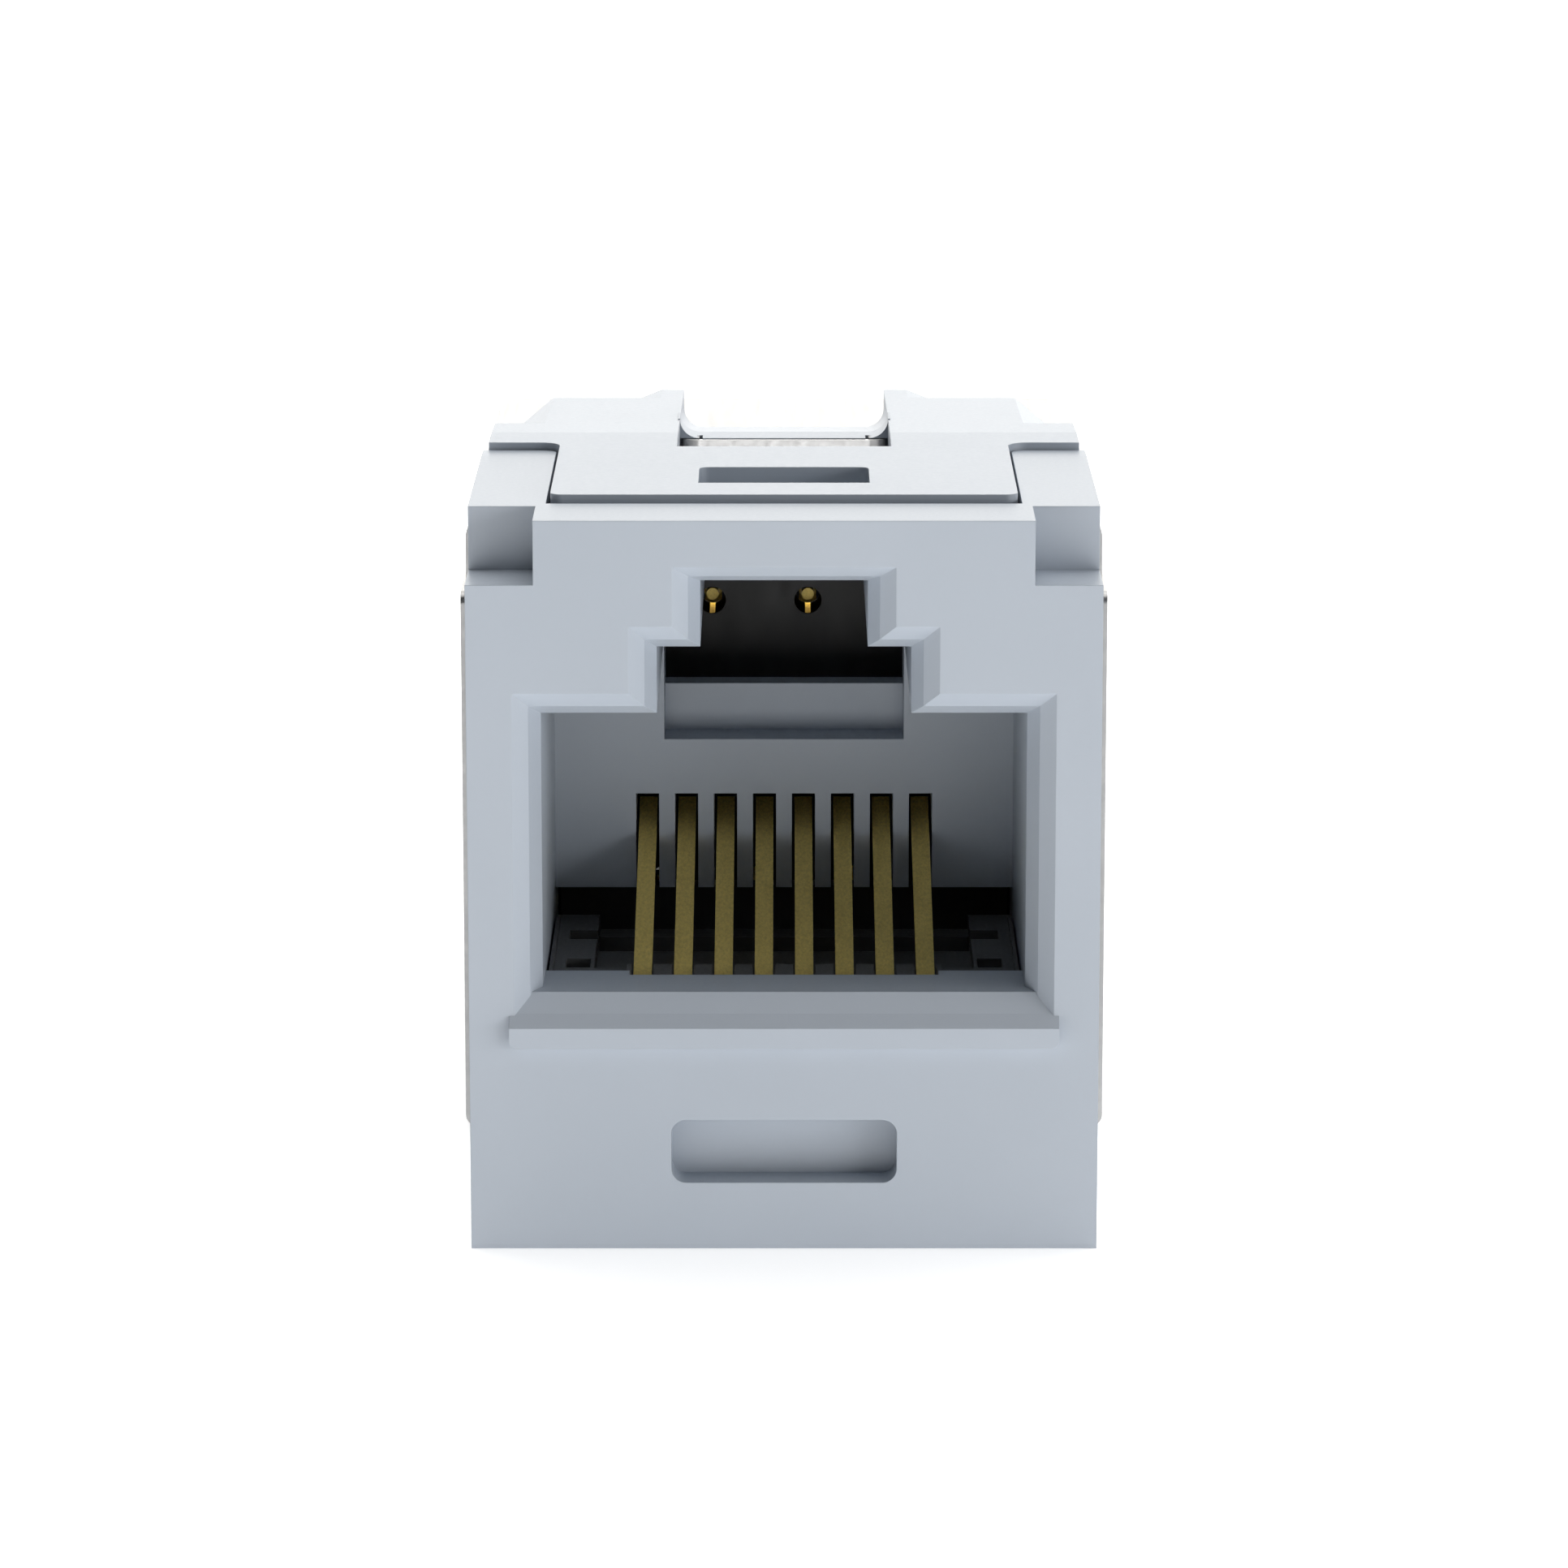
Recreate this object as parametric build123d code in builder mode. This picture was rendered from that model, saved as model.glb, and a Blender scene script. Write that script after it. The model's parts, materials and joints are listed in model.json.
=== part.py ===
from build123d import *
import os
from math import cos, radians, sin, tan

# Snap-in coupler for two eight-way modular plugs, back to back.
# +X is right and +Z is up, seen from the front; the front face looks along -Y.
# Depths are counted backwards from the front face; heights from the base.

# Overall sizes, millimetres
face_width = 15.52
face_height = 18.34
coupler_depth = 30.8
housing_depth = 11.35
fit_gap = 0.05

# Modular port
port_half = 5.97
step_half = 3.12
key_half = 2.05
port_drop = 11.89
port_height = 6.93
step_rise = 1.66
key_rise = 1.65
rear_drop = 1.2

# Two-facet lead-in round the mouth of a port
outer_facet = 0.39
outer_facet_depth = 0.4
inner_facet = 0.29
inner_facet_depth = 0.6
key_lead = 0.5

# Ledge below the front port, and the blind pocket in the face
ledge_half = 6.775
ledge_proud = 0.3
ledge_height = 0.52
ledge_corner = 0.2
lip_drop = 0.74
lip_break_depth = 0.05
lip_break_rise = 0.29
lip_flat_depth = 0.48
pocket_width = 5.58
pocket_height = 1.61
pocket_middle = 2.5
pocket_corner = 0.36
pocket_depth = 0.95

# Well in the floor that takes the contact carrier
lip_depth = 2.64
lip_middle_depth = 2.21
lip_middle_half = 3.86
well_drop = 3.25

# Back wall of the port, its window and its contact comb
wall_thick = 1.2
sill_thick = 0.8
wall_foot = 0.35
window_half = 3.11
window_rise = 4.31
window_step = 1.24
window_top_drop = 1.29
comb_slot = 0.6
comb_top = 2.86
chamber_length = 2.42
chamber_wall = 1.2

# Top of the front housing
notch_half = 6.1
notch_depth = 2.04
notch_height = 1.59
rim_depth = 2.42
latch_pocket_half = 5.86
latch_pocket_drop = 1.39
shoulder_depth = 10.51
shoulder_ramp = 1.05
shoulder_ramp_drop = 0.03
latch_seat_drop = 1.04

# Latch frame
latch_proud = 0.16
tongue_thick = 1.15
tongue_gap = 0.09
tongue_front_gap = 0.36
tongue_corner = 0.3
flange_side_gap = 0.67
flange_front_gap = 0.07
flange_corner = 0.5
flange_length = 3.82
crease_depth = 12.18
latch_slope = 3.0
tool_slot_half = 2.135
tool_slot_depth = 4.49
tool_slot_length = 2.32
tool_slot_corner = 0.25
latch_window_half = 2.76
latch_window_depth = 10.0
ear_side_gap = 0.98
ear_chamfer = 1.0
ear_chamfer_drop = 0.85
ear_length = 6.36
horn_half = 3.38
horn_chamfer = 0.85
horn_chamfer_drop = 0.34
horn_length = 2.13
saddle_depth = 15.02
saddle_land = 1.07
saddle_drop = 0.49
saddle_slope = 8.2
saddle_thick = 0.38
saddle_fillet = 0.52

# Contacts
contact_count = 8
contact_pitch = 1.016
contact_width = 0.46
contact_thick = 0.25
contact_rise = 17.6
contact_nose_depth = 2.62
contact_nose_drop = 0.655
contact_bend = 0.4
contact_end_reach = 1.72
contact_run_drop = 3.0
contact_gap = 0.05
fan_start = 4.0
fan_end_gap = 1.1
tail_pitch = 1.27
tail_lap = 0.3
tail_gap = 1.3

# Contact carrier
carrier_gap = 0.06
carrier_rear_gap = 1.7
carrier_heel = 1.55
heel_wall = 0.6
heel_drop = 0.1
bridge_rear = 9.45
bridge_front = 8.6
groove_front = 7.05
groove_depth = 0.4
tray_drop = 0.6
rib_rear = 3.9
rib_drop = 0.15
block_half = 4.79
block_drop = 0.25
block_rear = 9.6
strip_half = 3.96
rail_width = 0.1
rail_rear = 9.1
dimple_depth = 0.35
dimple_length = 0.94
dimple_margin = 0.4
dimple_setback = 0.1

# Circuit board
board_thick = 1.6
board_side_gap = 0.2
board_base = 0.5
board_top_gap = 0.45
hole_radius = 0.365
row_step = 2.54
rear_row_rise = 7.14
pin_radius = 0.165
pin_reach = 0.7

# Sheet-metal shield
sheet = 0.15
sheet_gap = 0.04
shell_half = 8.29
shell_drop = 1.89
shell_corner = 0.6
cover_drop = 2.05
cover_corner = 0.3
shield_front = 11.4
rear_bend = 0.25
lock_tab_gap = 0.06
lock_tab_curl = 0.45
lock_tab_bend = 0.3
lug_width = 1.6
lug_height = 2.4
lug_middle = 8.0
rear_lug_reach = 7.5
lug_root = 0.5

os.makedirs("parts", exist_ok=True)

# Derived places
face_y = -(coupler_depth - ledge_proud) / 2
middle_depth = coupler_depth / 2
port_floor = face_height - port_drop
port_ceiling = port_floor + port_height
step_ceiling = port_ceiling + step_rise
key_ceiling = step_ceiling + key_rise
mouth_grow = outer_facet + inner_facet
mouth_depth = outer_facet_depth + inner_facet_depth
rear_floor = port_floor - rear_drop
board_depth = middle_depth - board_thick / 2
board_gap_depth = board_depth - fit_gap
wall_rear = board_depth - chamber_length
port_depth = wall_rear - sill_thick - wall_thick
window_sill = port_floor + window_rise
window_top = key_ceiling - window_top_drop
chamber_base = rear_floor - well_drop
contact_end_depth = port_depth + contact_end_reach
carrier_rear = board_depth - carrier_rear_gap
fan_end = carrier_rear - fan_end_gap
tail_depth = board_depth - tail_gap
shell_top = face_height - shell_drop
cover_height = shell_top - cover_drop
core_half = shell_half - sheet - sheet_gap
core_base = sheet + sheet_gap
core_top = shell_top - sheet - sheet_gap
chamber_half = core_half - chamber_wall
board_half = core_half - board_side_gap
board_height = shell_top - board_top_gap - board_base
lug_depth = (housing_depth + board_gap_depth) / 2
rear_lug_depth = coupler_depth - rear_lug_reach
latch_top = face_height + latch_proud
latch_seat = face_height - latch_seat_drop
flange_half = shell_half - flange_side_gap
ear_half = shell_half - ear_side_gap - ear_chamfer
flange_depth = shoulder_depth + flange_front_gap
flange_rear = flange_depth + flange_length
ear_rear = flange_rear + ear_length
horn_rear = ear_rear + horn_length
slope_fall = tan(radians(latch_slope))


def back(depth):
    return face_y + depth


def across(depth):
    # upright plane facing forwards: sketch x is X, sketch y is Z
    return Plane.XZ.offset(-back(depth))


def mirror_plane():
    # the front and rear ends are mirror images about the middle of the board
    return Plane.XZ.offset(-back(middle_depth))


def port_outline(grow, floor, drop=0.0):
    # the stepped opening of a modular port, grown outwards by the lead-in
    main = port_half + grow
    step = step_half + grow
    key = key_half + grow
    low = port_ceiling + grow - drop
    middle = step_ceiling + grow - drop
    high = key_ceiling + grow * key_lead / mouth_grow - drop
    with BuildLine() as outline:
        Polyline(
            (-main, floor),
            (main, floor),
            (main, low),
            (step, low),
            (step, middle),
            (key, middle),
            (key, high),
            (-key, high),
            (-key, middle),
            (-step, middle),
            (-step, low),
            (-main, low),
            close=True,
        )
    make_face(outline.edges())


def block(half, near, far, low, high, mode=Mode.ADD):
    # a box symmetrical about X between two depths and two heights
    with BuildSketch(across(near)) as section:
        with Locations((0, (low + high) / 2)):
            Rectangle(2 * half, high - low)
    extrude(section.sketch, amount=near - far, mode=mode)


def side_blocks(inner, outer, near, far, low, high, mode=Mode.ADD):
    # the same box on both sides of the middle plane
    with BuildSketch(across(near)) as section:
        for side in (-1, 1):
            with Locations((side * (inner + outer) / 2, (low + high) / 2)):
                Rectangle(outer - inner, high - low)
    extrude(section.sketch, amount=near - far, mode=mode)


def contact_x(number):
    return (number - (contact_count + 1) / 2) * contact_pitch


def tail_x(number):
    return (number - (contact_count + 1) / 2) * tail_pitch


# Front housing: moulded body with the front port
lip_top_front = port_floor - lip_drop
ledge_base = lip_top_front - ledge_height
well_base = port_floor - well_drop

with BuildPart() as front_housing:
    block(face_width / 2, 0, housing_depth, 0, face_height)

    # rear spigot that the shield wraps
    with BuildSketch(across(housing_depth)):
        with Locations((0, (core_base + core_top) / 2)):
            RectangleRounded(2 * core_half, core_top - core_base, shell_corner - sheet)
    extrude(amount=housing_depth - board_gap_depth)
    side_blocks(
        core_half - lug_root, shell_half + sheet - fit_gap, lug_depth - lug_width / 2, lug_depth + lug_width / 2,
        lug_middle - lug_height / 2, lug_middle + lug_height / 2,
    )

    # lead-in: an outer facet at 45 degrees, then a steeper inner one
    with BuildSketch(across(0)):
        port_outline(mouth_grow, ledge_base)
    with BuildSketch(across(outer_facet_depth)):
        port_outline(inner_facet, ledge_base)
    loft(mode=Mode.SUBTRACT)
    with BuildSketch(across(outer_facet_depth)):
        port_outline(inner_facet, ledge_base)
    with BuildSketch(across(mouth_depth)):
        port_outline(0, ledge_base)
    loft(mode=Mode.SUBTRACT)
    with BuildSketch(across(mouth_depth)):
        port_outline(0, port_floor)
    extrude(amount=mouth_depth - port_depth, mode=Mode.SUBTRACT)

    # floor lip and ledge, with two facets of their own
    with BuildSketch(Plane.YZ):
        with BuildLine():
            Polyline(
                (back(-ledge_proud), ledge_base),
                (back(-ledge_proud), lip_top_front),
                (back(lip_break_depth), lip_top_front + lip_break_rise),
                (back(lip_flat_depth), port_floor),
                (back(mouth_depth + fit_gap), port_floor),
                (back(mouth_depth + fit_gap), ledge_base),
                close=True,
            )
        make_face()
    extrude(amount=ledge_half, both=True)
    ledge_edges = front_housing.edges().filter_by(Axis.Y).filter_by_position(
        Axis.Y, back(-ledge_proud), back(0)
    )
    fillet(ledge_edges.group_by(Axis.Z)[0], ledge_corner)

    # well for the carrier, running on under the back wall into the chamber
    block(port_half, lip_depth, wall_rear, well_base, port_floor + wall_foot, Mode.SUBTRACT)
    block(lip_middle_half, lip_middle_depth, lip_depth, well_base, port_floor + fit_gap, Mode.SUBTRACT)
    block(chamber_half, wall_rear, board_gap_depth, chamber_base, window_top, Mode.SUBTRACT)

    # window over the comb, with a raised sill behind it
    block(window_half, port_depth, port_depth + wall_thick, window_sill, window_top, Mode.SUBTRACT)
    block(window_half, port_depth + wall_thick, wall_rear, window_sill + window_step, window_top, Mode.SUBTRACT)

    # comb that guides the free ends of the contacts
    comb_height = comb_top - wall_foot
    with BuildSketch(across(port_depth)):
        with Locations((0, port_floor + wall_foot + comb_height / 2)):
            with GridLocations(contact_pitch, 0, contact_count, 1):
                Rectangle(comb_slot, comb_height)
    extrude(amount=port_depth - wall_rear, mode=Mode.SUBTRACT)

    # blind pocket below the ledge
    with BuildSketch(across(0)):
        with Locations((0, pocket_middle)):
            RectangleRounded(pocket_width, pocket_height, pocket_corner)
    extrude(amount=-pocket_depth, mode=Mode.SUBTRACT)

    # square notches in the upper front corners
    side_blocks(
        notch_half, face_width / 2, 0, notch_depth, face_height - notch_height, face_height, Mode.SUBTRACT
    )

    # pocket that lets the tongue flex, ramp on the shoulders and seat of the latch frame
    block(
        latch_pocket_half, rim_depth, shoulder_depth, face_height - latch_pocket_drop, face_height, Mode.SUBTRACT
    )
    with BuildSketch(Plane.YZ):
        with BuildLine():
            Polyline(
                (back(shoulder_depth - shoulder_ramp), face_height),
                (back(shoulder_depth), face_height - shoulder_ramp_drop),
                (back(shoulder_depth), face_height),
                close=True,
            )
        make_face()
    extrude(amount=face_width / 2, both=True, mode=Mode.SUBTRACT)
    block(face_width / 2, shoulder_depth, housing_depth, latch_seat, face_height, Mode.SUBTRACT)
    upright_edges = front_housing.edges().filter_by(Axis.Z).filter_by_position(
        Axis.Y, back(shoulder_depth) - fit_gap, back(shoulder_depth) + fit_gap
    )
    fillet(
        [e for e in upright_edges if abs(e.center().X) < latch_pocket_half + fit_gap and e.center().Z > latch_seat],
        flange_corner - tongue_gap,
    )

front_housing.part.label = "front_housing"
export_step(front_housing.part, "parts/front_housing.step")


# Latch frame: cantilever tongue, flange, two ears and the saddle that joins them
tongue_half = latch_pocket_half - tongue_gap
tongue_front = rim_depth + tongue_front_gap
tongue_base = latch_top - tongue_thick
saddle_top = face_height - saddle_drop
saddle_front = saddle_depth + sheet + fit_gap / 2
ear_drop = (flange_rear - crease_depth) * slope_fall
slope_way = (0, cos(radians(latch_slope)), -sin(radians(latch_slope)))

with BuildPart() as latch_frame:
    # tongue and flange in plan
    with BuildSketch(Plane.XY.offset(tongue_base)) as plan:
        with BuildLine():
            Polyline(
                (-tongue_half, back(tongue_front)),
                (tongue_half, back(tongue_front)),
                (tongue_half, back(flange_depth)),
                (flange_half, back(flange_depth)),
                (flange_half, back(flange_rear)),
                (-flange_half, back(flange_rear)),
                (-flange_half, back(flange_depth)),
                (-tongue_half, back(flange_depth)),
                close=True,
            )
        make_face()
        fillet(plan.vertices().group_by(Axis.Y)[0], tongue_corner)
        flange_front = plan.vertices().group_by(Axis.Y)[-2]
        fillet([v for v in flange_front if abs(v.X) < tongue_half + fit_gap], flange_corner)
    extrude(amount=tongue_thick)

    # foot of the flange, down to the top of the shield
    block(ear_half + ear_chamfer, shield_front, flange_rear, shell_top, tongue_base)

    # ears follow the slope of the top, with a wide chamfer outside
    ear_top = latch_top - ear_drop
    with BuildSketch(across(flange_rear)):
        with BuildLine():
            Polyline(
                (-ear_half - ear_chamfer, shell_top),
                (ear_half + ear_chamfer, shell_top),
                (ear_half + ear_chamfer, ear_top - ear_chamfer_drop),
                (ear_half, ear_top),
                (-ear_half, ear_top),
                (-ear_half - ear_chamfer, ear_top - ear_chamfer_drop),
                close=True,
            )
        make_face()
    extrude(amount=ear_length / slope_way[1], dir=slope_way)

    # horns carry the ears back to the end of the saddle
    horn_top = ear_top - ear_length * slope_fall
    horn_foot = shell_top - ear_length * slope_fall
    with BuildSketch(across(ear_rear)):
        with BuildLine():
            Polyline(
                (-horn_half - horn_chamfer, horn_foot),
                (horn_half + horn_chamfer, horn_foot),
                (horn_half + horn_chamfer, horn_top - horn_chamfer_drop),
                (horn_half, horn_top),
                (-horn_half, horn_top),
                (-horn_half - horn_chamfer, horn_top - horn_chamfer_drop),
                close=True,
            )
        make_face()
    extrude(amount=horn_length / slope_way[1], dir=slope_way)
    lowest = horn_foot - horn_length * slope_fall - fit_gap
    block(ear_half + ear_chamfer, flange_rear, horn_rear, lowest, shell_top, Mode.SUBTRACT)

    # the top falls to the rear behind the crease
    with BuildSketch(Plane.YZ):
        with BuildLine():
            Polyline(
                (back(crease_depth), latch_top),
                (back(flange_rear), ear_top),
                (back(flange_rear), latch_top),
                close=True,
            )
        make_face()
    extrude(amount=flange_half, both=True, mode=Mode.SUBTRACT)

    # window between the ears, and the tool slot in the tongue
    block(latch_window_half, latch_window_depth, horn_rear, shell_top, latch_top, Mode.SUBTRACT)
    with BuildSketch(Plane.XY.offset(tongue_base)) as tool_slot:
        with Locations((0, back(tool_slot_depth + tool_slot_length / 2))):
            Rectangle(2 * tool_slot_half, tool_slot_length)
        fillet(tool_slot.vertices().group_by(Axis.Y)[-1], tool_slot_corner)
    extrude(amount=tongue_thick, mode=Mode.SUBTRACT)

    # saddle: a gutter between the ears, level in front and then falling to the rear
    saddle_way = (0, cos(radians(saddle_slope)), -sin(radians(saddle_slope)))
    with BuildSketch(across(saddle_front)) as gutter:
        with Locations((0, saddle_top - saddle_thick)):
            Rectangle(
                2 * (latch_window_half + fit_gap), saddle_thick + saddle_fillet, align=(Align.CENTER, Align.MIN)
            )
        with Locations((0, saddle_top)):
            Rectangle(
                2 * latch_window_half, saddle_fillet, align=(Align.CENTER, Align.MIN), mode=Mode.SUBTRACT
            )
        inner = gutter.vertices().filter_by_position(Axis.Y, saddle_top - fit_gap, saddle_top + fit_gap)
        fillet(inner, saddle_fillet)
    extrude(gutter.sketch, amount=-saddle_land)
    extrude(
        gutter.sketch.moved(Location((0, saddle_land, 0))),
        amount=(horn_rear - saddle_front - saddle_land) / saddle_way[1], dir=saddle_way,
    )

    # notches under the front of the saddle for the curled ends of the lock tab
    curl_end = saddle_depth + lock_tab_curl + sheet + fit_gap
    side_blocks(
        latch_window_half - lock_tab_bend - 2 * sheet, latch_window_half, saddle_depth, curl_end,
        shell_top, saddle_top, Mode.SUBTRACT,
    )

latch_frame.part.label = "latch_frame"
export_step(latch_frame.part, "parts/latch_frame.step")


# Contact: a formed strip that starts in the comb, turns down round the nose of the carrier,
# runs back below it, fans out to the pitch of the board and ends in a round pin
def make_contact(number, drop, hole_height):
    nose_top = port_floor - contact_nose_drop - drop
    run_height = port_floor - contact_run_drop - drop
    end_height = nose_top + (contact_end_depth - contact_nose_depth) * tan(radians(contact_rise))
    spring_x = contact_x(number)
    pin_x = tail_x(number)
    with BuildPart() as contact:
        with BuildSketch(Plane.YZ.offset(spring_x)):
            with BuildLine():
                FilletPolyline(
                    (back(contact_end_depth), end_height),
                    (back(contact_nose_depth), nose_top),
                    (back(contact_nose_depth), run_height),
                    (back(fan_start), run_height),
                    radius=contact_bend,
                )
            trace(line_width=contact_thick)
        extrude(amount=contact_width / 2, both=True)

        with BuildSketch(Plane.XY.offset(run_height - contact_thick / 2)):
            with BuildLine():
                Polyline(
                    (spring_x, back(fan_start - tail_lap)),
                    (spring_x, back(fan_start)),
                    (pin_x, back(fan_end)),
                    (pin_x, back(carrier_rear + tail_lap)),
                )
            trace(line_width=contact_width)
        extrude(amount=contact_thick)

        with BuildSketch(Plane.YZ.offset(pin_x)):
            with BuildLine():
                if hole_height - run_height < tail_lap:
                    Line((back(carrier_rear), run_height), (back(board_gap_depth), run_height))
                else:
                    Polyline(
                        (back(carrier_rear), run_height),
                        (back(tail_depth), run_height),
                        (back(tail_depth), hole_height),
                        (back(board_gap_depth), hole_height),
                    )
            trace(line_width=contact_thick)
        extrude(amount=contact_width / 2, both=True)

        with BuildSketch(across(board_gap_depth - tail_lap)):
            with Locations((pin_x, hole_height)):
                Circle(pin_radius)
        extrude(amount=-(tail_lap + fit_gap + pin_reach))
    return contact.part


# Contact carrier: black insert in the floor, slotted at the front for the contact noses
def make_carrier(drop):
    top = port_floor - drop
    tray = top - tray_drop
    base = top - well_drop + fit_gap
    half = port_half - carrier_gap
    front = lip_depth + carrier_gap
    rib_top = top - rib_drop
    run_height = top - contact_run_drop
    with BuildPart() as carrier:
        # section along the middle: tray, groove, bridge, heel and the wall in front of the tails
        with BuildSketch(Plane.YZ):
            with BuildLine():
                Polyline(
                    (back(front), base),
                    (back(carrier_rear), base),
                    (back(carrier_rear), top - heel_drop),
                    (back(carrier_rear - heel_wall), top - heel_drop),
                    (back(carrier_rear - heel_wall), base + carrier_heel),
                    (back(bridge_rear), base + carrier_heel),
                    (back(bridge_rear), tray),
                    (back(bridge_front), tray),
                    (back(bridge_front), tray - groove_depth),
                    (back(groove_front), tray - groove_depth),
                    (back(groove_front), tray),
                    (back(front), tray),
                    close=True,
                )
            make_face()
        extrude(amount=half, both=True)
        block(strip_half, front, rib_rear, tray, rib_top)

        # side blocks, their front strips and the rails beside the port's walls
        side_blocks(block_half, half, front, block_rear, base, top - block_drop)
        side_blocks(strip_half, block_half, front, rib_rear, tray, top - block_drop)
        side_blocks(half - rail_width, half, front, rail_rear, tray, rib_top)
        dimples = (
            (rib_rear + fit_gap, block_half + rail_width),
            (groove_front - dimple_setback, block_half),
        )
        for near, inner in dimples:
            side_blocks(
                inner, half - dimple_margin, near, near + dimple_length,
                top - block_drop - dimple_depth, top, Mode.SUBTRACT,
            )

        # slots for the contact noses
        slot = contact_width + 2 * contact_gap
        with BuildSketch(across(front)):
            with Locations((0, (base + top) / 2)):
                with GridLocations(contact_pitch, 0, contact_count, 1):
                    Rectangle(slot, top - base)
        extrude(amount=front - rib_rear, mode=Mode.SUBTRACT)

        # grooves below for the fanned runs
        with BuildSketch(Plane.XY.offset(base)):
            for number in range(1, contact_count + 1):
                with BuildLine():
                    Polyline(
                        (contact_x(number), back(rib_rear - tail_lap)),
                        (contact_x(number), back(fan_start)),
                        (tail_x(number), back(fan_end)),
                        (tail_x(number), back(carrier_rear + tail_lap)),
                    )
                trace(line_width=slot)
        extrude(amount=run_height + contact_thick / 2 + contact_gap - base, mode=Mode.SUBTRACT)
    return carrier.part


with BuildPart() as front_contact_carrier:
    add(make_carrier(0))
front_contact_carrier.part.label = "front_contact_carrier"
export_step(front_contact_carrier.part, "parts/front_contact_carrier.step")

with BuildPart() as rear_contact_carrier:
    add(make_carrier(rear_drop))
    mirror(about=mirror_plane(), mode=Mode.REPLACE)
rear_contact_carrier.part.label = "rear_contact_carrier"
export_step(rear_contact_carrier.part, "parts/rear_contact_carrier.step")

# Rows of holes: odd contacts use the first row, even ones the row a step away
front_row = port_floor - contact_run_drop
front_rows = (front_row, front_row + row_step)
rear_row = port_floor + rear_row_rise
rear_rows = (rear_row, rear_row - row_step)

for number in range(1, contact_count + 1):
    row = (number - 1) % 2

    with BuildPart() as front_contact:
        add(make_contact(number, 0, front_rows[row]))
    front_contact.part.label = f"front_contact_{number}"
    export_step(front_contact.part, f"parts/front_contact_{number}.step")

    with BuildPart() as rear_contact:
        add(make_contact(number, rear_drop, rear_rows[row]))
        mirror(about=mirror_plane(), mode=Mode.REPLACE)
    rear_contact.part.label = f"rear_contact_{number}"
    export_step(rear_contact.part, f"parts/rear_contact_{number}.step")


# Circuit board, with a hole for every contact pin
hole_places = []
for number in range(1, contact_count + 1):
    row = (number - 1) % 2
    hole_places.append((tail_x(number), front_rows[row]))
    hole_places.append((tail_x(number), rear_rows[row]))

with BuildPart() as circuit_board:
    block(board_half, board_depth, board_depth + board_thick, board_base, board_base + board_height)
    with BuildSketch(across(board_depth)):
        with Locations(*hole_places):
            Circle(hole_radius)
    extrude(amount=-board_thick, mode=Mode.SUBTRACT)

circuit_board.part.label = "circuit_board"
export_step(circuit_board.part, "parts/circuit_board.step")

# Rear housing: moulded core with the rear port, behind the rear plate of the shield
with BuildPart() as rear_housing:
    plate_depth = sheet + fit_gap
    with BuildSketch(across(plate_depth)):
        with Locations((0, (core_base + core_top) / 2)):
            RectangleRounded(2 * core_half, core_top - core_base, shell_corner - sheet)
    extrude(amount=plate_depth - board_gap_depth)
    side_blocks(
        core_half - lug_root, shell_half + sheet - fit_gap,
        rear_lug_reach - lug_width / 2, rear_lug_reach + lug_width / 2,
        lug_middle - lug_height / 2, lug_middle + lug_height / 2,
    )

    # port with its lead-in on all sides
    with BuildSketch(across(plate_depth)):
        port_outline(mouth_grow, rear_floor - mouth_grow, rear_drop)
    with BuildSketch(across(plate_depth + outer_facet_depth)):
        port_outline(inner_facet, rear_floor - inner_facet, rear_drop)
    loft(mode=Mode.SUBTRACT)
    with BuildSketch(across(plate_depth + outer_facet_depth)):
        port_outline(inner_facet, rear_floor - inner_facet, rear_drop)
    with BuildSketch(across(plate_depth + mouth_depth)):
        port_outline(0, rear_floor, rear_drop)
    loft(mode=Mode.SUBTRACT)
    with BuildSketch(across(plate_depth + mouth_depth)):
        port_outline(0, rear_floor, rear_drop)
    extrude(amount=plate_depth + mouth_depth - port_depth, mode=Mode.SUBTRACT)

    # well, chamber and comb as in the front housing
    block(port_half, lip_depth, wall_rear, rear_floor - well_drop, rear_floor + wall_foot, Mode.SUBTRACT)
    block(
        lip_middle_half, lip_middle_depth, lip_depth, rear_floor - well_drop, rear_floor + fit_gap, Mode.SUBTRACT
    )
    block(chamber_half, wall_rear, board_gap_depth, chamber_base, window_top, Mode.SUBTRACT)
    with BuildSketch(across(port_depth)):
        with Locations((0, rear_floor + wall_foot + comb_height / 2)):
            with GridLocations(contact_pitch, 0, contact_count, 1):
                Rectangle(comb_slot, comb_height)
    extrude(amount=port_depth - wall_rear, mode=Mode.SUBTRACT)
    mirror(about=mirror_plane(), mode=Mode.REPLACE)

rear_housing.part.label = "rear_housing"
export_step(rear_housing.part, "parts/rear_housing.step")


# Shield shell: folded sheet over the top, sides and rear, with an upturned tab that locks the latch frame
shell_base = cover_corner + fit_gap
shell_rear = coupler_depth - sheet

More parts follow.
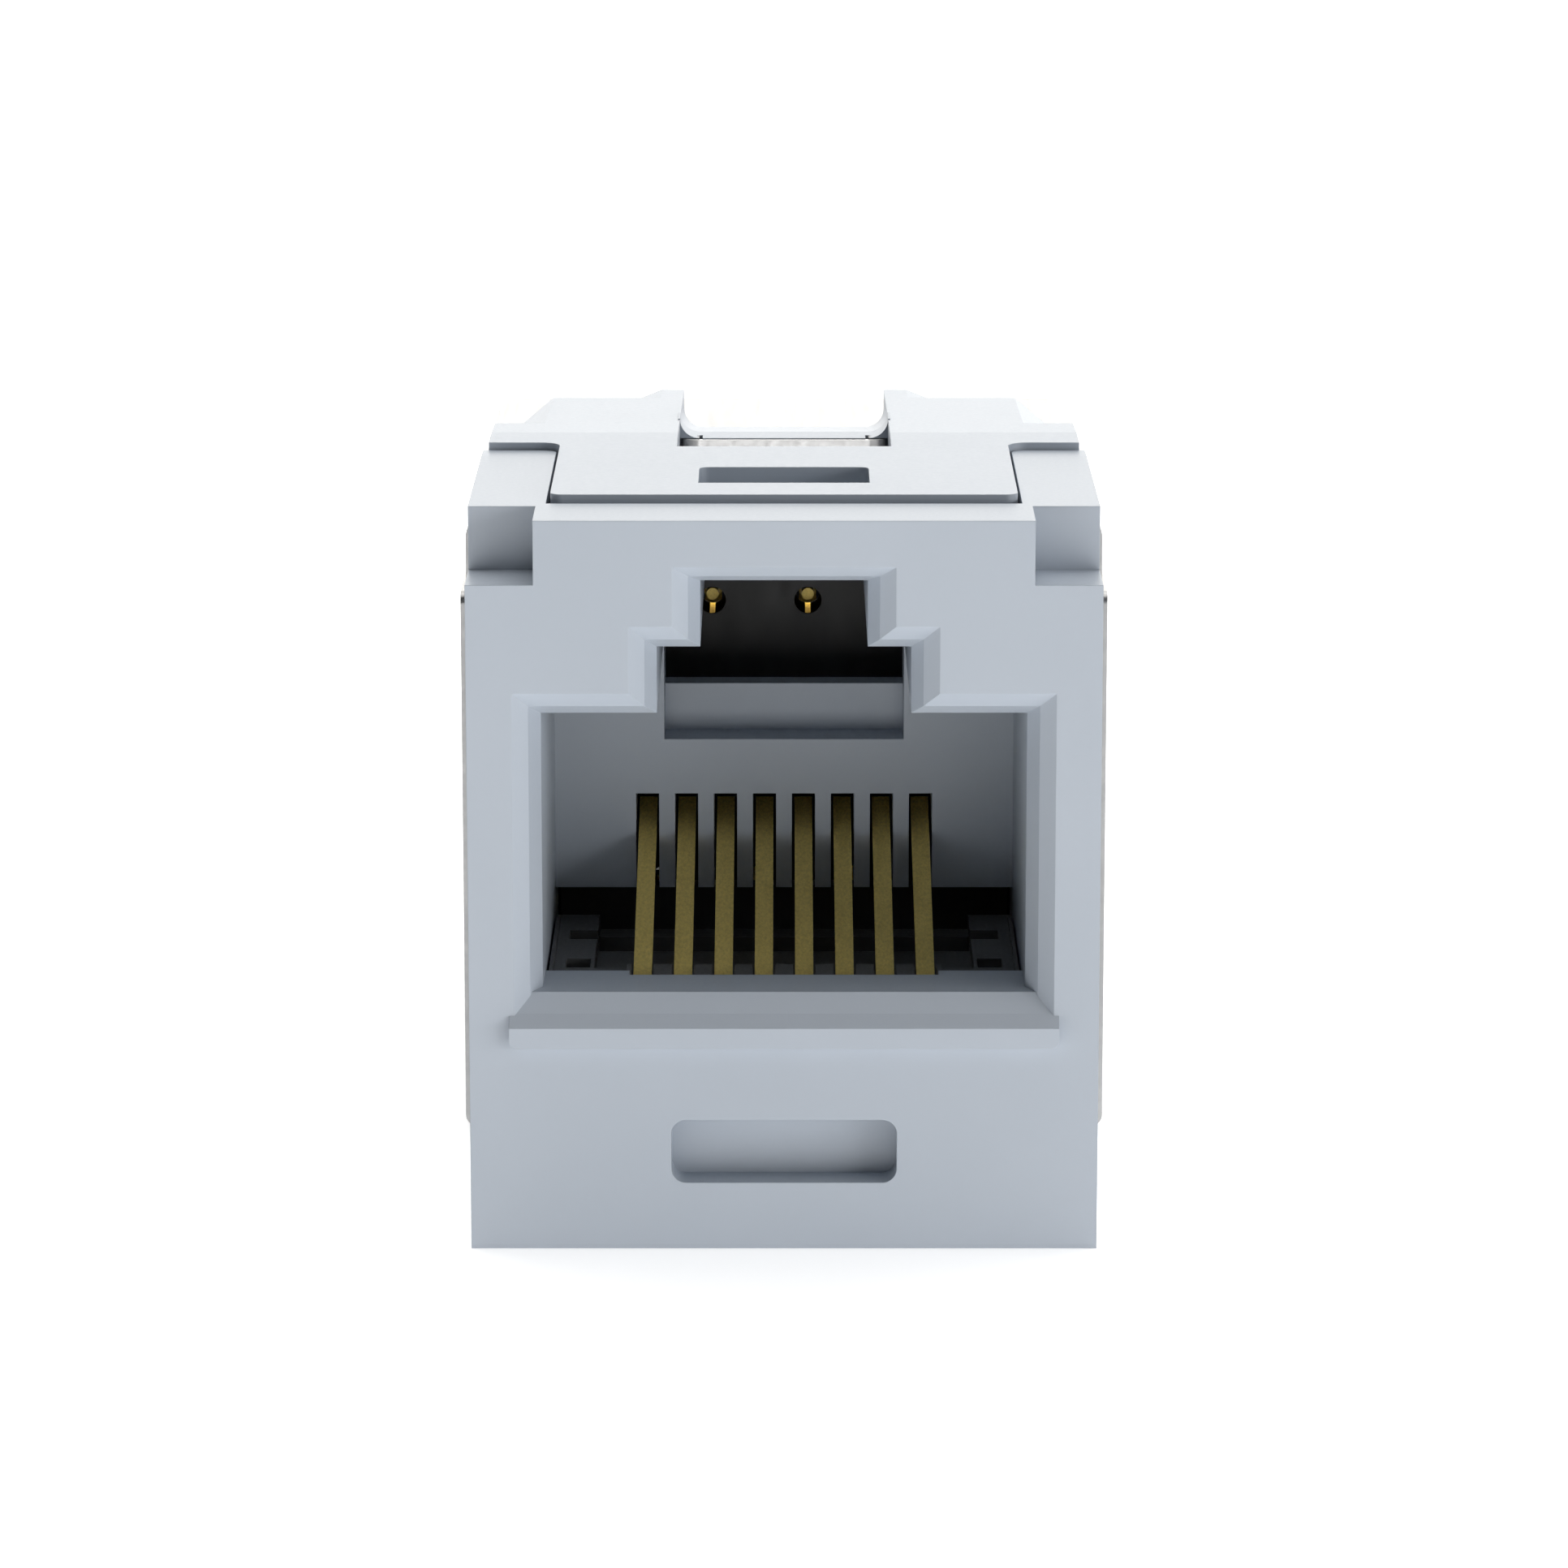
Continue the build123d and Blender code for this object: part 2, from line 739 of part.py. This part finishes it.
with BuildPart() as shield_shell:
    with BuildSketch(across(shield_front)) as skin:
        with Locations((0, shell_base)):
            Rectangle(2 * shell_half, shell_top - shell_base, align=(Align.CENTER, Align.MIN))
        fillet(skin.vertices().group_by(Axis.Y)[-1], shell_corner)
    extrude(amount=shield_front - coupler_depth)
    rear_edges = shield_shell.edges().group_by(Axis.Y)[-1]
    fillet([e for e in rear_edges if e.center().Z > shell_base + fit_gap], rear_bend)
    with BuildSketch(across(shield_front)) as room:
        with Locations((0, shell_base)):
            Rectangle(
                2 * (shell_half - sheet), shell_top - sheet - shell_base, align=(Align.CENTER, Align.MIN)
            )
        fillet(room.vertices().group_by(Axis.Y)[-1], shell_corner - sheet)
    extrude(amount=shield_front - shell_rear, mode=Mode.SUBTRACT)

    # opening of the rear port
    with BuildSketch(across(coupler_depth)):
        port_outline(mouth_grow, rear_floor - mouth_grow, rear_drop)
    extrude(amount=sheet, mode=Mode.SUBTRACT)

    # tab in front of the saddle, its ends curled to the rear
    tab_line = saddle_depth + sheet / 2
    tab_end = tab_line + lock_tab_curl
    tab_top = saddle_top - fit_gap / 2
    tab_half = latch_window_half - lock_tab_gap - sheet / 2
    with BuildSketch(Plane.XY.offset(shell_top - sheet / 2)):
        with BuildLine():
            FilletPolyline(
                (-tab_half, back(tab_end)),
                (-tab_half, back(tab_line)),
                (tab_half, back(tab_line)),
                (tab_half, back(tab_end)),
                radius=lock_tab_bend,
            )
        trace(line_width=sheet)
    extrude(amount=tab_top - shell_top + sheet / 2)
    for middle in (lug_depth, rear_lug_depth):
        side_blocks(
            core_half, shell_half + sheet, middle - lug_width / 2 - fit_gap, middle + lug_width / 2 + fit_gap,
            lug_middle - lug_height / 2 - fit_gap, lug_middle + lug_height / 2 + fit_gap, Mode.SUBTRACT,
        )

shield_shell.part.label = "shield_shell"
export_step(shield_shell.part, "parts/shield_shell.step")

# Shield cover: folded sheet under the base and up the sides, outside the shell
with BuildPart() as shield_cover:
    cover_half = shell_half + sheet
    with BuildSketch(across(shield_front)) as skin:
        Rectangle(2 * cover_half, cover_height, align=(Align.CENTER, Align.MIN))
        fillet(skin.vertices().group_by(Axis.Y)[0], cover_corner)
    extrude(amount=shield_front - coupler_depth)
    with BuildSketch(across(shield_front)) as room:
        with Locations((0, sheet)):
            Rectangle(2 * shell_half, cover_height - sheet, align=(Align.CENTER, Align.MIN))
        fillet(room.vertices().group_by(Axis.Y)[0], cover_corner - sheet)
    extrude(amount=shield_front - coupler_depth, mode=Mode.SUBTRACT)
    for middle in (lug_depth, rear_lug_depth):
        side_blocks(
            core_half, cover_half, middle - lug_width / 2 - fit_gap, middle + lug_width / 2 + fit_gap,
            lug_middle - lug_height / 2 - fit_gap, lug_middle + lug_height / 2 + fit_gap, Mode.SUBTRACT,
        )
    top_edges = shield_cover.edges().filter_by(Axis.X).group_by(Axis.Z)[-1]
    fillet(top_edges, cover_corner)

shield_cover.part.label = "shield_cover"
export_step(shield_cover.part, "parts/shield_cover.step")
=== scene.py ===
import json
import math

import bpy
import bmesh
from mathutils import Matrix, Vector


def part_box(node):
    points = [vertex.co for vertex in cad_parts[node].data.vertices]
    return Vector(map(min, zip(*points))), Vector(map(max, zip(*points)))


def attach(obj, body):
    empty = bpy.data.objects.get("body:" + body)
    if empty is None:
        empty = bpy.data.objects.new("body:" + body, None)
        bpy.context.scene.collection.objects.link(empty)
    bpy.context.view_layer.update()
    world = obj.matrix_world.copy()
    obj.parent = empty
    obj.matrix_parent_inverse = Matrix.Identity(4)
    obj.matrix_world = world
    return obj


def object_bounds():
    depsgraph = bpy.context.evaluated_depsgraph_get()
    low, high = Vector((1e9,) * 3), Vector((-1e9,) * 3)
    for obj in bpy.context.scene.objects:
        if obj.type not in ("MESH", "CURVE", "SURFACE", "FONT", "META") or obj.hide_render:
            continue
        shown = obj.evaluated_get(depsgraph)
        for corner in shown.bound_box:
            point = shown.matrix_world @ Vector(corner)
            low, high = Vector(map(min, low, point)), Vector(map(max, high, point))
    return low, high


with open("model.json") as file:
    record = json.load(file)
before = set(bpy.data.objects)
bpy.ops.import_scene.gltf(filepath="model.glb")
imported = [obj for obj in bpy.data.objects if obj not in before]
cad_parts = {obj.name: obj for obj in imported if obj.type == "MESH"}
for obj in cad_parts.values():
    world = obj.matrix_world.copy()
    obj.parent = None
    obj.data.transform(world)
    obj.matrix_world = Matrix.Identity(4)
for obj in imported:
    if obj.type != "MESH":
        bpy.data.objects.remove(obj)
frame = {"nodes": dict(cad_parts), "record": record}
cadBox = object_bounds()
nodes = frame["nodes"]
print("frame loaded,", len(nodes), "nodes")

mm = 0.001
white = (1, 1, 1, 1)


# Camera: from the photograph's viewing angle, above the middle of the front face
view = {
    "focal": 7994.2,
    "frameWidth": 1932,
    "sensor": 36.0,
    "pitch": 12.454,
    "distance": 154.85 * mm,
    "height": 46.01 * mm,
    "ledge": 0.3 * mm,
    "clip": (0.005, 20),
}


def makeCamera():
    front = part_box("front_housing")[0].y + view["ledge"]
    data = bpy.data.cameras.new("camera")
    data.sensor_width = view["sensor"]
    data.lens = view["focal"] / view["frameWidth"] * view["sensor"]
    data.clip_start, data.clip_end = view["clip"]
    camera = bpy.data.objects.new("camera", data)
    camera.location = (0, front - view["distance"], view["height"])
    camera.rotation_euler = (math.radians(90 - view["pitch"]), 0, 0)
    bpy.context.scene.collection.objects.link(camera)
    bpy.context.scene.camera = camera


makeCamera()
print("camera placed")


# Node helpers
noiseSpan = (0.3, 0.7)  # nearly all of a noise texture's values
bevelSamples = 6


def newMaterial(name):
    material = bpy.data.materials.new(name)
    material.use_nodes = True
    tree = material.node_tree
    return material, tree, tree.nodes["Principled BSDF"]


def addNode(tree, kind, **inputs):
    node = tree.nodes.new(kind)
    for key, value in inputs.items():
        node.inputs[key.replace("_", " ")].default_value = value
    return node


def addNoise(tree, scale, detail, roughness=0.5, stretch=(1, 1, 1)):
    coordinates = tree.nodes.new("ShaderNodeTexCoord")
    mapping = addNode(tree, "ShaderNodeMapping", Scale=stretch)
    noise = addNode(
        tree, "ShaderNodeTexNoise", Scale=scale, Detail=detail, Roughness=roughness,
    )
    tree.links.new(coordinates.outputs["Object"], mapping.inputs["Vector"])
    tree.links.new(mapping.outputs["Vector"], noise.inputs["Vector"])
    return noise.outputs["Fac"]


def addRange(tree, source, start, end, low=0.0, high=1.0):
    # low up to start, high from end on
    spread = addNode(
        tree, "ShaderNodeMapRange", From_Min=start, From_Max=end, To_Min=low, To_Max=high,
    )
    tree.links.new(source, spread.inputs["Value"])
    return spread.outputs["Result"]


def addTint(tree, source, dark, light):
    ramp = tree.nodes.new("ShaderNodeValToRGB")
    for stop, position, color in zip(ramp.color_ramp.elements, noiseSpan, (dark, light)):
        stop.position = position
        stop.color = (*color, 1)
    tree.links.new(source, ramp.inputs["Fac"])
    return ramp.outputs["Color"]


def addBump(tree, source, height, edge=0.0):
    # height and edge in metres; the edge rounds the shading of sharp corners
    bump = addNode(tree, "ShaderNodeBump", Strength=1.0, Distance=height)
    tree.links.new(source, bump.inputs["Height"])
    if edge > 0:
        bevel = addNode(tree, "ShaderNodeBevel", Radius=edge)
        bevel.samples = bevelSamples
        tree.links.new(bevel.outputs["Normal"], bump.inputs["Normal"])
    return bump.outputs["Normal"]


def addMath(tree, kind, *sources):
    node = tree.nodes.new("ShaderNodeMath")
    node.operation = kind
    for place, source in enumerate(sources):
        tree.links.new(source, node.inputs[place])
    return node.outputs["Value"]


def mixColor(tree, mask, under, color):
    mix = addNode(tree, "ShaderNodeMixRGB", Color2=(*color, 1))
    tree.links.new(mask, mix.inputs["Fac"])
    tree.links.new(under, mix.inputs["Color1"])
    return mix.outputs["Color"]


def splitObject(tree):
    coordinates = tree.nodes.new("ShaderNodeTexCoord")
    split = tree.nodes.new("ShaderNodeSeparateXYZ")
    tree.links.new(coordinates.outputs["Object"], split.inputs["Vector"])
    return addMath(tree, "ABSOLUTE", split.outputs["X"]), split.outputs["Y"], split.outputs["Z"]


def addFinish(tree, shader, finish, cloud, grain):
    # the cloud noise tints the surface, the grain noise roughens it
    tint = addTint(tree, cloud, finish["dark"], finish["light"])
    roughness = addRange(tree, grain, *noiseSpan, *finish["roughness"])
    relief = addBump(tree, grain, finish["relief"], finish["edge"])
    tree.links.new(tint, shader.inputs["Base Color"])
    tree.links.new(roughness, shader.inputs["Roughness"])
    tree.links.new(relief, shader.inputs["Normal"])
    return tint, relief


def makeMoulding(name, finish):
    material, tree, shader = newMaterial(name)
    cloud = addNoise(tree, **finish["cloud"])
    grain = addNoise(tree, **finish["grain"])
    addFinish(tree, shader, finish, cloud, grain)
    return material


# Body plastic: pale blue-grey, fine eroded texture, faint flow clouds
plastic = {
    "dark": (0.392, 0.434, 0.490),
    "light": (0.408, 0.450, 0.507),
    "cloud": {"scale": 160, "detail": 2.0},
    "grain": {"scale": 9000, "detail": 3.0, "roughness": 0.6},
    "relief": 0.0012 * mm,
    "edge": 0.03 * mm,
    "roughness": (0.34, 0.42),
}

# Insert plastic: black, slightly glossy glass-filled moulding
insert = {
    "dark": (0.066, 0.066, 0.066),
    "light": (0.090, 0.0895, 0.089),
    "cloud": {"scale": 400, "detail": 2.0},
    "grain": {"scale": 14000, "detail": 3.0, "roughness": 0.6},
    "relief": 0.002 * mm,
    "edge": 0.03 * mm,
    "roughness": (0.38, 0.52),
}


# Board mask: black lacquer over a woven laminate
board = {
    "dark": (0.0320, 0.0314, 0.0305),
    "light": (0.0430, 0.0423, 0.0412),
    "weave": {"scale": 2600, "detail": 1.0, "roughness": 0.5, "stretch": (1, 1, 0.35)},
    "relief": 0.002 * mm,
    "edge": 0,
    "roughness": (0.55, 0.68),
}


def makeBoard():
    material, tree, shader = newMaterial("board_mask")
    weave = addNoise(tree, **board["weave"])
    addFinish(tree, shader, board, weave, weave)
    return material


# Contact gold: dull plating with fine grain along the strip
contact = {
    "dark": (0.74, 0.555, 0.157),
    "light": (0.98, 0.765, 0.243),
    "grain": {"scale": 16000, "detail": 3.0, "roughness": 0.65, "stretch": (1, 0.45, 1)},
    "relief": 0.004 * mm,
    "edge": 0.02 * mm,
    "roughness": (0.48, 0.62),
    "metallic": 0.55,
}


def makeContactGold():
    material, tree, shader = newMaterial("contact_gold")
    grain = addNoise(tree, **contact["grain"])
    addFinish(tree, shader, contact, grain, grain)
    shader.inputs["Metallic"].default_value = contact["metallic"]
    return material


# Hole plating: gold barrels painted nearly black as painted shade, with a painted highlight
# along the bottom of each, a painted reflection of light from behind the board
plating = {
    # painted shade: the barrel walls are nearly black, the shade inside the holes
    "dark": (0.013, 0.010, 0.005),
    "light": (0.020, 0.015, 0.007),
    # painted highlight: bright gold along the bottom of each barrel
    "paintedHighlight": (1.0, 0.72, 0.18),
    "highlightHalf": 0.08 * mm,
    "highlightCore": 0.064 * mm,
    "highlightDepth": 0.1 * mm,
    "edgeTint": (1.0, 0.80, 0.30, 1),
    "grain": {"scale": 5000, "detail": 2.0},
    "relief": 0.002 * mm,
    "edge": 0,
    "roughness": (0.24, 0.34),
}


def makePlating():
    material, tree, shader = newMaterial("hole_plating")
    grain = addNoise(tree, **plating["grain"])
    tint, _ = addFinish(tree, shader, plating, grain, grain)
    # painted highlight: a bright metallic gold band along the bottom of each barrel, a painted
    # reflection of light from behind the board
    aside, _, height = splitObject(tree)
    middle = addRange(tree, aside, plating["highlightHalf"], plating["highlightCore"])
    below = addRange(tree, height, 0, -plating["highlightDepth"])
    paintedHighlight = addMath(tree, "MULTIPLY", middle, below)
    color = mixColor(tree, paintedHighlight, tint, plating["paintedHighlight"])
    tree.links.new(color, shader.inputs["Base Color"])
    tree.links.new(paintedHighlight, shader.inputs["Metallic"])
    shader.inputs["Specular IOR Level"].default_value = 0.0
    shader.inputs["Specular Tint"].default_value = plating["edgeTint"]
    return material


# Shield metal: nickel-plated sheet drawn along its length, a flat, slightly darker grey along
# its front edge;
# its lock tab is painted paler as painted light and its shading is bumped to lean back, and the
# tab's curled ends are made less metallic so the pale colour shows there as painted light
shield = {
    "dark": (0.36, 0.357, 0.352),
    "light": (0.43, 0.427, 0.421),
    "streak": {"scale": 5200, "detail": 3.0, "roughness": 0.6, "stretch": (1, 0.06, 1)},
    "relief": 0.003 * mm,
    "edge": 0.03 * mm,
    "roughness": (0.28, 0.42),
    "cut": (0.36, 0.36, 0.36),
    "cutDepth": 0.03 * mm,
    "cutFade": 0.03 * mm,
    # painted light: the paler colour of the lock tab's lit face
    "tab": (0.66, 0.655, 0.65),
    "tabFoot": 16.47 * mm,
    "tabSink": 0.01 * mm,
    "tabLean": 47,
    "curlStart": 2.24 * mm,
    "curlFade": 0.06 * mm,
    # painted light: the tab's curled ends are less metallic, so the pale tab colour shows there
    # instead of a dark reflection
    "curlMetallic": 0.3,
}


def leanTab(tree, height, top, relief):
    # a slope that the bump node sees on the tab, and nowhere else
    foot = shield["tabFoot"]
    rise = (top - foot) * math.tan(math.radians(shield["tabLean"]))
    lean = addNode(tree, "ShaderNodeBump", Strength=1.0, Distance=rise)
    tree.links.new(addRange(tree, height, top, foot), lean.inputs["Height"])
    tree.links.new(relief, lean.inputs["Normal"])
    return lean.outputs["Normal"]


def makeShield():
    material, tree, shader = newMaterial("shield_metal")
    low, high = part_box("shield_shell")
    streak = addNoise(tree, **shield["streak"])
    tint, relief = addFinish(tree, shader, shield, streak, streak)
    aside, along, height = splitObject(tree)

    # the front edge of the sheet gets a flat, slightly darker grey
    cutEnd = low.y + shield["cutDepth"]
    cut = addRange(tree, along, cutEnd + shield["cutFade"], cutEnd)
    # painted light: the tab above its foot gets the paler tab colour
    tab = addRange(tree, height, shield["tabFoot"] - shield["tabSink"], shield["tabFoot"])
    color = mixColor(tree, cut, tint, shield["cut"])
    color = mixColor(tree, tab, color, shield["tab"])
    tree.links.new(color, shader.inputs["Base Color"])

    # painted light on the curled ends: lower metallic lets the pale tab colour show
    outer = addRange(tree, aside, shield["curlStart"], shield["curlStart"] + shield["curlFade"])
    curl = addMath(tree, "MULTIPLY", outer, tab)
    metallic = addRange(tree, curl, 0, 1, 1.0, shield["curlMetallic"])
    tree.links.new(metallic, shader.inputs["Metallic"])
    tree.links.new(leanTab(tree, height, high.z, relief), shader.inputs["Normal"])
    return material


finishes = {
    "body_plastic": makeMoulding("body_plastic", plastic),
    "insert_plastic": makeMoulding("insert_plastic", insert),
    "board_mask": makeBoard(),
    "contact_gold": makeContactGold(),
    "hole_plating": makePlating(),
    "shield_metal": makeShield(),
}


def dressNodes():
    for part in frame["record"]["subparts"]:
        for place in nodes[part["node"]].material_slots:
            place.material = finishes[part["material_slot"]]


dressNodes()
print("materials made")


# Plated barrels: one thin gold tube in each hole of the board, around the contact's pin
barrel = {
    "bore": 0.352 * mm,
    "outer": 0.364 * mm,
    "inset": 0.10 * mm,
    "tip": 0.01 * mm,
    "segments": 48,
    "weld": 0.0005 * mm,
}


def findPin(name):
    points = [vertex.co for vertex in nodes[name].data.vertices]
    side = 1 if name.startswith("front") else -1
    reach = max(side * point.y for point in points)
    tip = [point for point in points if reach - side * point.y < barrel["tip"]]
    across = [point.x for point in tip]
    upright = [point.z for point in tip]
    return (min(across) + max(across)) / 2, (min(upright) + max(upright)) / 2


def makeBarrel(name):
    low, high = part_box("circuit_board")
    x, z = findPin(name)
    near, far = low.y + barrel["inset"], high.y - barrel["inset"]
    bore, outer = barrel["bore"], barrel["outer"]
    section = [(bore, near), (outer, near), (outer, far), (bore, far)]
    shape = bmesh.new()
    corners = [shape.verts.new((radius, y, 0)) for radius, y in section]
    edges = [shape.edges.new((corners[i - 1], corners[i])) for i in range(len(corners))]
    bmesh.ops.spin(
        shape, geom=corners + edges, cent=(0, 0, 0), axis=(0, 1, 0), angle=math.tau,
        steps=barrel["segments"], use_merge=True,
    )
    bmesh.ops.remove_doubles(shape, verts=shape.verts, dist=barrel["weld"])
    bmesh.ops.recalc_face_normals(shape, faces=shape.faces)
    mesh = bpy.data.meshes.new("barrel_" + name)
    shape.to_mesh(mesh)
    shape.free()
    mesh.materials.append(finishes["hole_plating"])
    piece = bpy.data.objects.new("barrel_" + name, mesh)
    piece.location = (x, 0, z)
    bpy.context.scene.collection.objects.link(piece)
    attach(piece, "root")


contactNames = [name for name in nodes if "_contact_" in name and "carrier" not in name]
for name in contactNames:
    makeBarrel(name)
print("barrels made,", len(contactNames))


# Floor: plain pale light table, which shows the camera a faint shadow of the object
floor = {
    "half": 1.5,
    "color": (0.93, 0.93, 0.93, 1),
    "roughness": 0.9,
    "glow": 0.87,
    "glowSeen": 0.50,
}


def makeFloor():
    shape = bmesh.new()
    bmesh.ops.create_grid(shape, x_segments=1, y_segments=1, size=floor["half"])
    mesh = bpy.data.meshes.new("floor")
    shape.to_mesh(mesh)
    shape.free()
    plane = bpy.data.objects.new("floor", mesh)
    plane.location.z = cadBox[0][2]
    bpy.context.scene.collection.objects.link(plane)

    material, tree, shader = newMaterial("floor")
    shader.inputs["Base Color"].default_value = floor["color"]
    shader.inputs["Roughness"].default_value = floor["roughness"]
    shader.inputs["Emission Color"].default_value = white
    path = tree.nodes.new("ShaderNodeLightPath")
    glow = addRange(
        tree, path.outputs["Is Camera Ray"], 0, 1, floor["glow"], floor["glowSeen"],
    )
    tree.links.new(glow, shader.inputs["Emission Strength"])
    mesh.materials.append(material)


makeFloor()


# Light: a bright backdrop behind the object, a lamp overhead and one on the right,
# and a dim strip behind the board that shines through its upper holes
room = {"color": (1.0, 0.99, 0.965, 1), "base": 0.06, "behind": 2.28}
lamps = {
    "overhead": {
        "place": (0.10, 0.05, 0.60),
        "aim": (0, 0, 10 * mm),
        "size": (0.6, 0.6),
        "power": 2.25,
    },
    "right": {
        "place": (0.50, -0.32, 0.085),
        "aim": (0, 0, 10 * mm),
        "size": (0.45, 0.16),
        "power": 1.3,
    },
    "strip": {
        "place": (0, 1.6 * mm, 13.33 * mm),
        "aim": (0, 0, 13.33 * mm),
        "size": (6 * mm, 0.18 * mm),
        "power": 0.000008,
    },
}


def makeWorld():
    world = bpy.data.worlds.new("room")
    world.use_nodes = True
    bpy.context.scene.world = world
    tree = world.node_tree
    coordinates = tree.nodes.new("ShaderNodeTexCoord")
    direction = tree.nodes.new("ShaderNodeSeparateXYZ")
    tree.links.new(coordinates.outputs["Generated"], direction.inputs["Vector"])
    brightness = addRange(
        tree, direction.outputs["Y"], 0, 1, room["base"], room["base"] + room["behind"],
    )
    soft = tree.nodes["Background"]
    soft.inputs["Color"].default_value = room["color"]
    tree.links.new(brightness, soft.inputs["Strength"])
    seen = addNode(tree, "ShaderNodeBackground", Color=white)
    path = tree.nodes.new("ShaderNodeLightPath")
    mix = tree.nodes.new("ShaderNodeMixShader")
    tree.links.new(path.outputs["Is Camera Ray"], mix.inputs[0])
    tree.links.new(soft.outputs["Background"], mix.inputs[1])
    tree.links.new(seen.outputs["Background"], mix.inputs[2])
    tree.links.new(mix.outputs["Shader"], tree.nodes["World Output"].inputs["Surface"])


def makeLamp(name, lamp):
    data = bpy.data.lights.new(name, "AREA")
    data.shape = "RECTANGLE"
    data.size, data.size_y = lamp["size"]
    data.energy = lamp["power"]
    light = bpy.data.objects.new(name, data)
    light.location = lamp["place"]
    aim = Vector(lamp["aim"]) - Vector(lamp["place"])
    light.rotation_euler = aim.to_track_quat("-Z", "Y").to_euler()
    light.visible_camera = False
    bpy.context.scene.collection.objects.link(light)


makeWorld()
for name, lamp in lamps.items():
    makeLamp(name, lamp)
bpy.context.scene.view_settings.view_transform = "Standard"
print("floor and light made")
